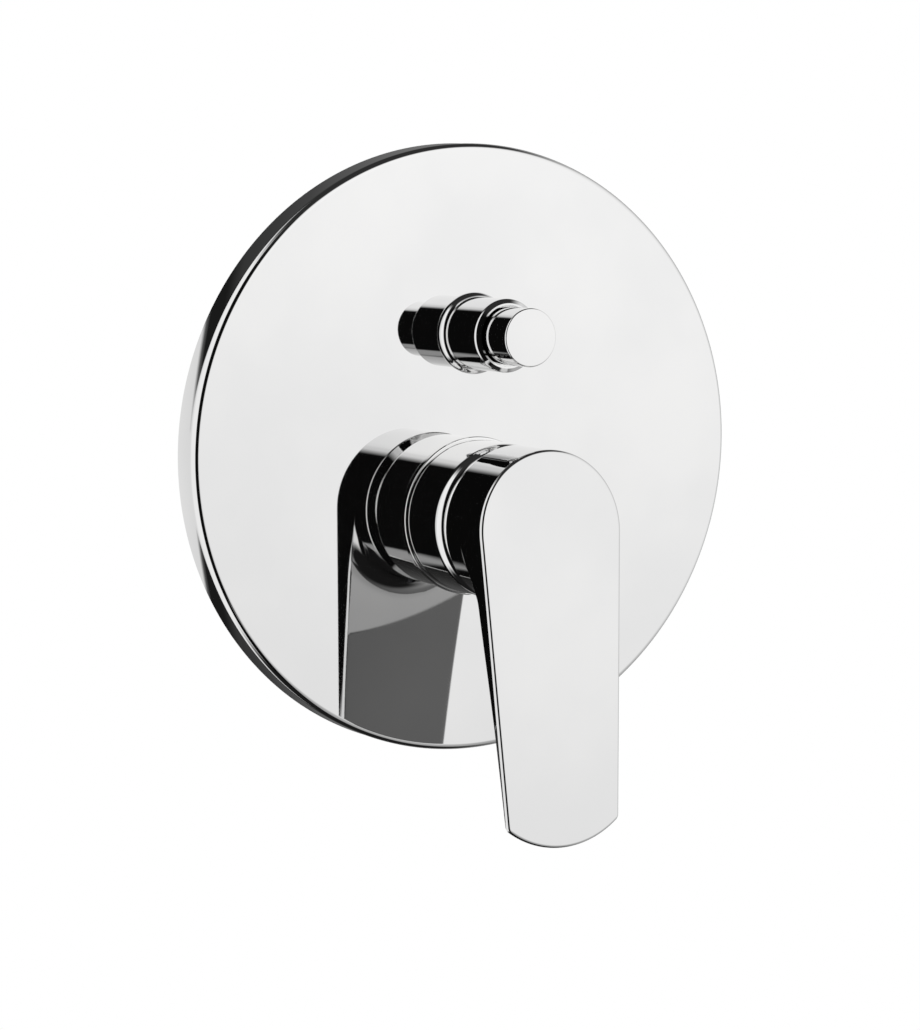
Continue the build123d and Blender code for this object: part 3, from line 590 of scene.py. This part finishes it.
def makeButton():
    radius = (buttonHigh.x - buttonLow.x) / 2
    front, back = -buttonLow.y, -buttonHigh.y
    inside, bore = front - button["endWall"], radius - button["wall"]
    bossEnd = inside - button["bossLength"]
    socketEnd = bossEnd + button["socket"]
    boss, stem = button["bossRadius"], button["stemRadius"]
    soft = button["endRound"]
    section = [(front, button["centre"])]
    section += arcRun((front - soft, radius - soft), soft, 0, 90, button["endSteps"])
    section += [(back, radius), (back, bore), (inside, bore), (inside, boss), (bossEnd, boss)]
    section += [(bossEnd, stem), (socketEnd, stem), (socketEnd, button["centre"])]
    piece = spinSection("diverterButton", diverterZ, section, button["steps"], button["seam"])
    selectRims()
    bpy.ops.mesh.edge_collapse()    # both tiny rims close to a point on the axis
    closeSeams(button["seam"])
    smoothPiece(piece, button["smooth"])
    dressPiece(piece, "diverter_button", "diverter", "chrome")
    print("diverter button:", len(piece.data.polygons), "faces")


makeButton()

# return spring: round wire wound by a screw
spring = {
    "wire": 0.9 * mm, "turns": 6, "travel": 8.0 * mm, "smooth": 50.0, "stepsPerTurn": 40, "sides": 12,
}


def makeSpring():
    low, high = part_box("diverter_spring")
    half = spring["wire"] / 2
    start, end = -high.y + half, -low.y - half
    coil = (high.x - low.x) / 2 - half
    bpy.ops.object.select_all(action="DESELECT")
    bpy.ops.mesh.primitive_circle_add(
        vertices=spring["sides"], radius=half, location=(coil, 0.0, 0.0), rotation=(pi / 2, 0.0, 0.0)
    )
    piece = bpy.context.object
    piece.name = "returnSpring"
    bpy.ops.object.transform_apply(location=True, rotation=True, scale=True)
    wound = piece.modifiers.new("wound", "SCREW")
    wound.screw_offset = (end - start) / spring["turns"]
    wound.iterations = spring["turns"]
    wound.steps = wound.render_steps = spring["stepsPerTurn"]
    bpy.ops.object.modifier_apply(modifier="wound")
    piece.rotation_euler = (pi / 2, 0.0, 0.0)
    piece.location = (0.0, -start, diverterZ)
    bpy.ops.object.transform_apply(location=True, rotation=True, scale=True)
    bpy.ops.object.mode_set(mode="EDIT")
    selectRims()
    bpy.ops.mesh.fill_holes(sides=0)
    closeSeams()
    smoothPiece(piece, spring["smooth"])
    dressPiece(piece, "diverter_spring", "body", "steel")
    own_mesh(piece)
    print("return spring:", len(piece.data.polygons), "faces")


makeSpring()

# lever handle: round head over the sleeve's lip, flowing into a thin tapered blade
lever = {
    "taper": 3.2, "endRadius": 29.0 * mm, "cornerRound": 2.0 * mm, "faceTilt": 5.5,
    "frontRound": 1.0 * mm, "backRound": 0.8 * mm, "edgeFade": 6.0 * mm, "draft": 0.11,
    "headDepth": 21.9 * mm, "flareRound": 6.0 * mm, "backStart": 10.0 * mm, "backSlope": 0.196,
    "rootThickness": 6.5 * mm, "rootReach": 28.0 * mm, "midThickness": 3.7 * mm, "midReach": 56.0 * mm,
    "tipThickness": 1.9 * mm, "rimRound": 0.5 * mm, "rimLean": 25.0, "recess": 26.86 * mm,
    "recessMiddle": 3.0 * mm, "pocketWall": 4.0 * mm, "pocketFloor": 5.3 * mm, "boss": 9.5 * mm,
    "socket": 8.1 * mm, "socketStretch": 5.0, "socketWall": 4.5 * mm,
    "grubRadius": 2.5 * mm, "grubOffset": 8.6 * mm, "grubLength": 36.0 * mm, "grubSteps": 48,
    "holeFacing": 0.2, "smooth": 30.0, "sideCrowd": 1.7, "flareCrowd": 1.8, "curveSteps": 80,
    "headSteps": 48, "sideSteps": 56, "cornerSteps": 8, "endSteps": 28, "roundSteps": 6,
    "flareSteps": 26, "rimSteps": 6,
}


def leverOutline(radius, reach):
    # half of the outline from the top of the head to the tip, then its mirror image
    # each entry is (point, outward normal)
    t = radians(lever["taper"])
    sideNormal = Vector((cos(t), -sin(t)))
    sideRun = Vector((-sin(t), -cos(t)))
    corner, endRadius = lever["cornerRound"], lever["endRadius"]
    endCentre = Vector((0.0, endRadius - reach))
    # the corner's centre lies a corner radius inside both the side and the end arc
    base = sideNormal * (radius - corner)
    across = base - endCentre
    b = across.dot(sideRun)
    along = -b + sqrt(b * b - across.length_squared + (endRadius - corner) ** 2)
    cornerCentre = base + sideRun * along
    outward = (cornerCentre - endCentre).normalized()
    cornerEnd = atan2(outward.y, outward.x)
    half = []

    def addArc(centre, size, start, end, steps, first=1):
        for i in range(first, steps + 1):
            a = start + (end - start) * i / steps
            normal = Vector((cos(a), sin(a)))
            half.append((centre + normal * size, normal))

    addArc(Vector((0.0, 0.0)), radius, pi / 2, -t, lever["headSteps"], first=0)
    for i in range(1, lever["sideSteps"] + 1):
        run = along * (i / lever["sideSteps"]) ** lever["sideCrowd"]
        half.append((sideNormal * radius + sideRun * run, sideNormal))
    addArc(cornerCentre, corner, -t, cornerEnd, lever["cornerSteps"])
    addArc(endCentre, endRadius, cornerEnd, -pi / 2, lever["endSteps"])
    mirrored = [(Vector((-p.x, p.y)), Vector((-n.x, n.y))) for p, n in reversed(half[1:-1])]
    return half + mirrored


def flareCurve(points, startTangent, endTangent):
    # smooth run through four (height, reach) points; gives the height at any reach
    spans = [(q - p).length for p, q in zip(points, points[1:])]
    a, b, c = spans
    right1 = 3 * ((points[1] - points[0]) / a ** 2 + (points[2] - points[1]) / b ** 2) - startTangent / a
    right2 = 3 * ((points[2] - points[1]) / b ** 2 + (points[3] - points[2]) / c ** 2) - endTangent / c
    m11, m12, m22 = 2 * (1 / a + 1 / b), 1 / b, 2 * (1 / b + 1 / c)
    det = m11 * m22 - m12 * m12
    tangent1, tangent2 = (right1 * m22 - right2 * m12) / det, (right2 * m11 - right1 * m12) / det
    tangents = [startTangent, tangent1, tangent2, endTangent]
    run = []
    for p, q, u, v, span in zip(points, points[1:], tangents, tangents[1:], spans):
        for i in range(lever["curveSteps"]):
            s = i / lever["curveSteps"]
            run.append(
                p * (2 * s ** 3 - 3 * s ** 2 + 1) + u * span * (s ** 3 - 2 * s ** 2 + s)
                + q * (3 * s ** 2 - 2 * s ** 3) + v * span * (s ** 3 - s ** 2)
            )
    run.append(points[-1])

    def heightAt(reach):
        for low, high in zip(run, run[1:]):
            if high.y >= reach:
                share = (reach - low.y) / max(high.y - low.y, 1e-9)
                return low.x + (high.x - low.x) * min(max(share, 0.0), 1.0)
        return run[-1].x

    return heightAt


def leverRings():
    radius = (leverHigh.x - leverLow.x) / 2
    reach = hubZ - leverLow.z
    headBack = -leverHigh.y
    headFront = headBack + lever["headDepth"]
    tilt = tan(radians(lever["faceTilt"]))
    outline = leverOutline(radius, reach)

    def knot(away, thickness):
        return Vector((headFront + tilt * away - thickness, away))

    root = knot(lever["rootReach"], lever["rootThickness"])
    slopeRun = lever["rootReach"] - lever["backStart"]
    start = Vector((root.x - lever["backSlope"] * slopeRun, lever["backStart"]))
    middle = knot(lever["midReach"], lever["midThickness"])
    tip = knot(reach, lever["tipThickness"])
    backRun = flareCurve([start, root, middle, tip], (root - start).normalized(), (tip - middle).normalized())

    def backHeight(point):
        # straight across the blade, and rounded into the head's wall
        flare = lever["flareRound"]
        away = min(max(point.length - radius, 0.0), flare)
        return backRun(max(-point.y, lever["backStart"])) - flare + sqrt(flare ** 2 - (flare - away) ** 2)

    front, back = lever["frontRound"], lever["backRound"]
    quarter = [pi / 2 * i / lever["roundSteps"] for i in range(lever["roundSteps"] + 1)]
    rings = []
    for a in quarter:    # front edge round
        ring = []
        for p, n in outline:
            q = p - n * front * (1 - sin(a))
            ring.append((q.x, q.y, headFront - tilt * q.y - front * (1 - cos(a))))
        rings.append(ring)
    for a in quarter:    # back edge round, fading out where the flare meets the head
        ring = []
        for p, n in outline:
            fade = min(max((p.length - radius) / lever["edgeFade"], 0.0), 1.0)
            soft = back * fade
            thickness = headFront - tilt * p.y - backHeight(p)
            drawn = lever["draft"] * fade * thickness    # the sides lean in towards the back
            q = p - n * (soft * (1 - cos(a)) + drawn)
            edge = p - n * (soft + drawn)
            ring.append((q.x, q.y, backHeight(edge) + soft * (1 - sin(a))))
        rings.append(ring)
    inner = [Vector(point[:2]) for point in rings[-1]]
    for i in range(1, lever["flareSteps"] + 1):    # back of the blade, in towards the head
        left = (1 - i / lever["flareSteps"]) ** lever["flareCrowd"]
        ring = []
        for q in inner:
            away = radius + max(q.length - radius, 0.0) * left
            point = q * (away / q.length)
            ring.append((point.x, point.y, backHeight(point)))
        rings.append(ring)
    pocket, boss = radius - lever["pocketWall"], lever["boss"]
    pocketFloor = headFront - lever["pocketFloor"]
    pivot = plateFace + sleeve["pivotStand"]

    def recessPoint(away):
        return (pivot + sqrt(lever["recess"] ** 2 - away ** 2), away)

    rim = sqrt(lever["recess"] ** 2 - (headBack - pivot) ** 2)
    soft = lever["rimRound"]
    lean = radians(lever["rimLean"])    # the rim leans, so that it clears the sleeve as the lever lifts
    coneEnd = headBack + (radius - soft + soft * sin(lean) - rim) * tan(lean)
    rimCentre = (coneEnd + soft * cos(lean), radius - soft)
    inside = arcRun(rimCentre, soft, 90, 180 - lever["rimLean"], lever["rimSteps"])
    inside += [(headBack, rim), recessPoint((rim + pocket) / 2), recessPoint(pocket)]
    inside += [(pocketFloor, pocket), (pocketFloor, boss), recessPoint(boss), recessPoint(lever["recessMiddle"])]
    for height, away in inside:    # head wall, rim, recess, pocket and boss
        rings.append([(q.x * away / q.length, q.y * away / q.length, height) for q in inner])
    return rings, headFront


def placeRing(piece, ring):
    # the face in hand takes the ring's shape
    face = next(face for face in piece.data.polygons if face.select)
    for index, (x, z, height) in zip(face.vertices, ring):
        piece.data.vertices[index].co = (x, -height, hubZ + z)


def makeLever():
    rings, headFront = leverRings()
    bpy.ops.object.select_all(action="DESELECT")
    bpy.ops.mesh.primitive_circle_add(vertices=len(rings[0]), radius=mm, fill_type="NGON")
    piece = bpy.context.object
    piece.name = "leverHandle"
    placeRing(piece, rings[0])
    for ring in rings[1:]:    # the face is drawn out from the front, round the edge and into the head
        bpy.ops.object.mode_set(mode="EDIT")
        bpy.ops.mesh.extrude_region()
        bpy.ops.object.mode_set(mode="OBJECT")
        placeRing(piece, ring)
    bpy.ops.object.mode_set(mode="EDIT")
    closeSeams()
    socketEnd = headFront - lever["socketWall"]
    half = lever["socket"] / 2
    bpy.ops.object.select_all(action="DESELECT")
    bpy.ops.mesh.primitive_cube_add(size=lever["socket"], location=(0.0, -socketEnd, hubZ))
    socket = bpy.context.object
    bpy.ops.object.mode_set(mode="EDIT")
    bpy.ops.mesh.select_all(action="SELECT")
    stretch = (1.0, lever["socketStretch"], 1.0)
    bpy.ops.transform.resize(value=stretch, center_override=(0.0, -socketEnd - half, hubZ))
    bpy.ops.transform.translate(value=(0.0, half, 0.0))
    bpy.ops.object.mode_set(mode="OBJECT")
    cutAway(piece, socket)
    grubHeight = headFront - lever["grubOffset"]
    bpy.ops.object.select_all(action="DESELECT")
    bpy.ops.mesh.primitive_cylinder_add(
        vertices=lever["grubSteps"], radius=lever["grubRadius"], depth=lever["grubLength"],
        location=(0.0, -grubHeight, hubZ - lever["grubLength"] / 2),
    )
    cutAway(piece, bpy.context.object)
    smoothPiece(piece, lever["smooth"])
    dressPiece(piece, "lever_handle", "lever", "chrome")
    # the lever takes the darker copy of the chrome, a painted shade standing in for the dimmer light its face
    # reflects
    piece.data.materials[0] = chromeFinish("leverChrome", chromeLook["leverShadedDark"], chromeLook["leverShadedLight"])
    piece.data.materials.append(blackSteel)    # painted shade: the hole round the grub screw is painted near black
    # faces inside the grub screw's hole take the near-black steel, a painted shade in the hole
    for face in piece.data.polygons:
        away = Vector((face.center.x, face.center.y + grubHeight)).length
        upright = abs(face.normal.z) < lever["holeFacing"]
        if away < lever["grubRadius"] and upright and face.center.z < hubZ - lever["socket"]:
            face.material_index = 1
    print("lever handle:", len(piece.data.polygons), "faces")


makeLever()

# brass castings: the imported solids, merged and smoothed so that their round forms read as cast
castings = {"names": {"valve_body": "brassBody", "diverter_bonnet": "brassBonnet"}, "smooth": 28.0}


def makeCastings():
    for node, name in castings["names"].items():
        piece = frame["nodes"][node].copy()
        piece.data = frame["nodes"][node].data.copy()
        piece.name = name
        bpy.context.scene.collection.objects.link(piece)
        pickPiece(piece)
        bpy.ops.object.mode_set(mode="EDIT")
        bpy.ops.mesh.select_all(action="SELECT")
        bpy.ops.mesh.remove_doubles(threshold=seamGap)
        bpy.ops.object.mode_set(mode="OBJECT")
        smoothPiece(piece, castings["smooth"])
        dressPiece(piece, node, "body", "brass")
        print(name + ":", len(piece.data.polygons), "faces")


makeCastings()

# port unions: turned rings with a socket for the body's stub, a pipe thread and two spanner flats
union = {
    "radius": 14.5 * mm, "length": 21.0 * mm, "socketRadius": 12.0 * mm, "socketDepth": 6.0 * mm,
    "chamfer": 1.0 * mm, "boreRadius": 9.3 * mm, "leadIn": 1.2 * mm, "flats": 26.0 * mm,
    "flatLength": 12.0 * mm, "flatCutter": 40.0 * mm, "threadPitch": 1.814 * mm,
    "threadDepth": 0.95 * mm, "threadStart": 0.2, "threadHalf": 0.4, "smooth": 28.0, "steps": 96,
}


def unionSection():
    # heights run from the shoulder out to the mouth
    outer, length, cut = union["radius"], union["length"], union["chamfer"]
    bore, mouth = union["boreRadius"], union["length"] - union["leadIn"]
    socket, pitch = union["socketRadius"], union["threadPitch"]
    section = [(0.0, socket), (0.0, outer - cut), (cut, outer), (length - cut, outer), (length, outer - cut)]
    section += [(length, bore + union["leadIn"]), (mouth, bore)]
    for i in range(int((mouth - union["socketDepth"]) / pitch) - 1):
        top = mouth - (i + union["threadStart"]) * pitch
        side = union["threadHalf"] * pitch
        section += [(top, bore), (top - side, bore + union["threadDepth"]), (top - 2 * side, bore)]
    section += [(union["socketDepth"], bore), (union["socketDepth"], socket)]
    return section


def makeUnions():
    acrossBrass, uprightBrass = turnedBrass("acrossBrass", 0), turnedBrass("uprightBrass", 2)
    reach = union["flatCutter"] / 2
    for node in ("hot_union", "cold_union", "upper_union", "lower_union"):
        low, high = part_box(node)
        middle = (low + high) / 2
        liesAcross = high.x - low.x < high.z - low.z
        outward = Vector((middle.x, 0.0, 0.0)) if liesAcross else Vector((0.0, 0.0, middle.z))
        outward.normalize()
        piece = turnPiece(node.replace("_union", "Union"), 0.0, unionSection(), union["steps"])
        for side in (-1, 1):
            place = (0.0, reach - union["flatLength"], side * (union["flats"] / 2 + reach))
            bpy.ops.object.select_all(action="DESELECT")
            bpy.ops.mesh.primitive_cube_add(size=union["flatCutter"], location=place)
            cutAway(piece, bpy.context.object)
        pickPiece(piece)
        piece.rotation_euler = Vector((0.0, -1.0, 0.0)).rotation_difference(outward).to_euler()
        piece.location = middle - outward * union["length"] / 2
        bpy.ops.object.transform_apply(location=True, rotation=True, scale=True)
        smoothPiece(piece, union["smooth"])
        dressPiece(piece, node, "body", "brass_bar")
        piece.data.materials[0] = acrossBrass if liesAcross else uprightBrass
        print(piece.name + ":", len(piece.data.polygons), "faces")


makeUnions()

# studio: white to the camera, and to the chrome a wide room with a dark front-left screen and a dim back wall
# directions are in degrees: round from straight in front, right positive, and up from the horizon
studio = {
    "ring": [    # brightness round the horizon
        (-180, 0.048), (-170, 0.040), (-165, 0.012), (-157.6, 0.012), (-156.8, 0.80), (-150, 0.86),
        (-140, 0.95), (-120, 1.0), (-54, 1.0), (-48, 0.004), (-1, 0.004), (4, 0.86), (12, 0.97),
        (29, 0.98), (60, 0.90), (110, 0.60), (135, 0.29), (150, 0.19), (160, 0.11), (170, 0.065),
        (180, 0.048),
    ],
    "inFront": (0.0, 0.5), "slant": 0.2, "backSlant": 0.32, "backLeft": (-120.0, -150.0),
    "right": (0.0, 6.0), "rise": 0.0125, "across": 0.005, "evenRise": -7.0, "evenAround": 29.0,
    "low": 0.75, "high": 1.12, "lowFade": 0.38, "lowRange": (14.0, 40.0),
    "left": (-40.0, -60.0), "leftRise": 14.0, "above": (34.0, 52.0), "upLevel": 0.03,
    "below": (48.0, 64.0), "downLevel": 0.012, "diffuse": 0.62,
    "strip": 0.35, "stripStart": (-16.0, -10.0), "stripEnd": (3.0, -3.0), "stripRise": -27.5,
    "stripEdge": (2.0, 1.0),
}


def makeWorld():
    world = bpy.data.worlds.new("studioRoom")
    bpy.context.scene.world = world
    world.use_nodes = True
    world.node_tree.nodes.clear()
    wire = Wire(world.node_tree)
    direction = wire.node("ShaderNodeTexCoord", {}, {}, "Generated")
    x, y, z = splitPlace(wire, direction)
    around = wire.maths("ARCTAN2", x, -y) * (180 / pi)
    rise = wire.maths("ARCSINE", z) * (180 / pi)
    inFront = (-y).ramp(*studio["inFront"])
    right = around.ramp(*studio["right"])
    lean = studio["slant"] * wire.maths("MAXIMUM", rise, 0.0) * inFront
    backLean = studio["backSlant"] * wire.maths("MAXIMUM", -rise, 0.0) * around.ramp(*studio["backLeft"])
    stops = [((place + 180) / 360, grey(level)) for place, level in studio["ring"]]
    turned = (around + lean + backLean + 180.0) / 360.0
    ring = wire.node("ShaderNodeValToRGB", {"stops": stops}, {"Fac": turned})
    drift = studio["rise"] * (rise - studio["evenRise"]) + studio["across"] * (around - studio["evenAround"])
    shade = wire.maths("MAXIMUM", 1.0 + drift * inFront * right, studio["low"])
    shade = wire.maths("MINIMUM", shade, studio["high"])
    band = ring * shade * (1.0 - studio["lowFade"] * (-rise).ramp(*studio["lowRange"]) * right)
    leftRise = studio["leftRise"] * around.ramp(*studio["left"])    # the light on the left is taller
    above = (rise - leftRise).ramp(*studio["above"])
    below = (-rise).ramp(*studio["below"])
    stripHeight = wire.maths("ABSOLUTE", rise - studio["stripRise"]).ramp(*studio["stripEdge"])
    strip = around.ramp(*studio["stripStart"]) * around.ramp(*studio["stripEnd"]) * stripHeight
    band = wire.maths("MAXIMUM", band, studio["strip"] * strip)
    room = band * (1.0 - above) * (1.0 - below) + studio["upLevel"] * above + studio["downLevel"] * below
    seen = wire.node("ShaderNodeLightPath", {}, {}, "Is Camera Ray")
    spread = wire.node("ShaderNodeLightPath", {}, {}, "Is Diffuse Ray")
    level = seen + (1.0 - seen) * (spread * studio["diffuse"] + (1.0 - spread) * room)
    surface = wire.node("ShaderNodeBackground", {}, {"Color": grey(1.0), "Strength": level})
    wire.node("ShaderNodeOutputWorld", {}, {"Surface": surface})


makeWorld()

lamps = [
    {"name": "keyLamp", "place": (0.9, -1.3, 1.5), "size": 0.9, "power": 14.0},
    {"name": "backLamp", "place": (-0.8, 1.2, 1.5), "size": 1.0, "power": 14.0},
]


def makeLamps():
    for lamp in lamps:
        bpy.ops.object.select_all(action="DESELECT")
        bpy.ops.object.light_add(type="AREA", location=lamp["place"])
        made = bpy.context.object
        made.name = lamp["name"]
        made.data.energy = lamp["power"]
        made.data.size = lamp["size"]
        made.visible_glossy = False
        made.rotation_euler = (-Vector(lamp["place"])).to_track_quat("-Z", "Y").to_euler()


makeLamps()

# pale floor well below the wall piece, so its shadow falls outside the picture
floor = {"drop": 0.55, "size": 5.0, "shade": grey(0.82), "colour": grey(0.86), "speckScale": 30.0}


def makeFloor():
    bpy.ops.object.select_all(action="DESELECT")
    bpy.ops.mesh.primitive_plane_add(size=floor["size"], location=(0.0, 0.0, -floor["drop"]))
    ground = bpy.context.object
    ground.name = "paleFloor"
    material, wire = newMaterial("paleFloorPaint")
    seen = wire.node("ShaderNodeLightPath", {}, {}, "Is Camera Ray")
    specks = noise(wire, objectPlace(wire), floor["speckScale"])
    colour = mixColour(wire, specks, floor["shade"], floor["colour"])
    paint = wire.node("ShaderNodeBsdfDiffuse", {}, {"Color": colour})
    glow = wire.node("ShaderNodeEmission", {}, {"Color": grey(1.0), "Strength": 1.0})
    mixed = wire.node("ShaderNodeMixShader", {}, {0: seen, 1: paint, 2: glow})
    wire.node("ShaderNodeOutputMaterial", {}, {"Surface": mixed})
    ground.data.materials.append(material)
    ground.visible_glossy = False


makeFloor()
print("studio ready")

camera = {
    "target": Vector((-4.532, -10.5, -19.099)) * mm, "azimuth": -29.194, "elevation": 6.549, "roll": 0.235,
    "distance": 767.81 * mm, "lens": 90.81, "sensor": 36.0, "clipStart": 0.01,
}


def makeCamera():
    az, el, roll = (radians(camera[key]) for key in ("azimuth", "elevation", "roll"))
    back = Vector((sin(az) * cos(el), -cos(az) * cos(el), sin(el)))
    side = Vector((0.0, 0.0, 1.0)).cross(back).normalized()
    up = back.cross(side)
    right = side * cos(roll) + up * sin(roll)
    top = up * cos(roll) - side * sin(roll)
    place = camera["target"] + back * camera["distance"]
    data = bpy.data.cameras.new("photoCamera")
    data.lens = camera["lens"]
    data.sensor_width = camera["sensor"]
    data.clip_start = camera["clipStart"]
    made = bpy.data.objects.new("photoCamera", data)
    bpy.context.scene.collection.objects.link(made)
    turn = Matrix((right, top, back)).transposed().to_4x4()
    made.matrix_world = Matrix.Translation(place) @ turn
    bpy.context.scene.camera = made


makeCamera()
bpy.context.scene.view_settings.view_transform = "Standard"
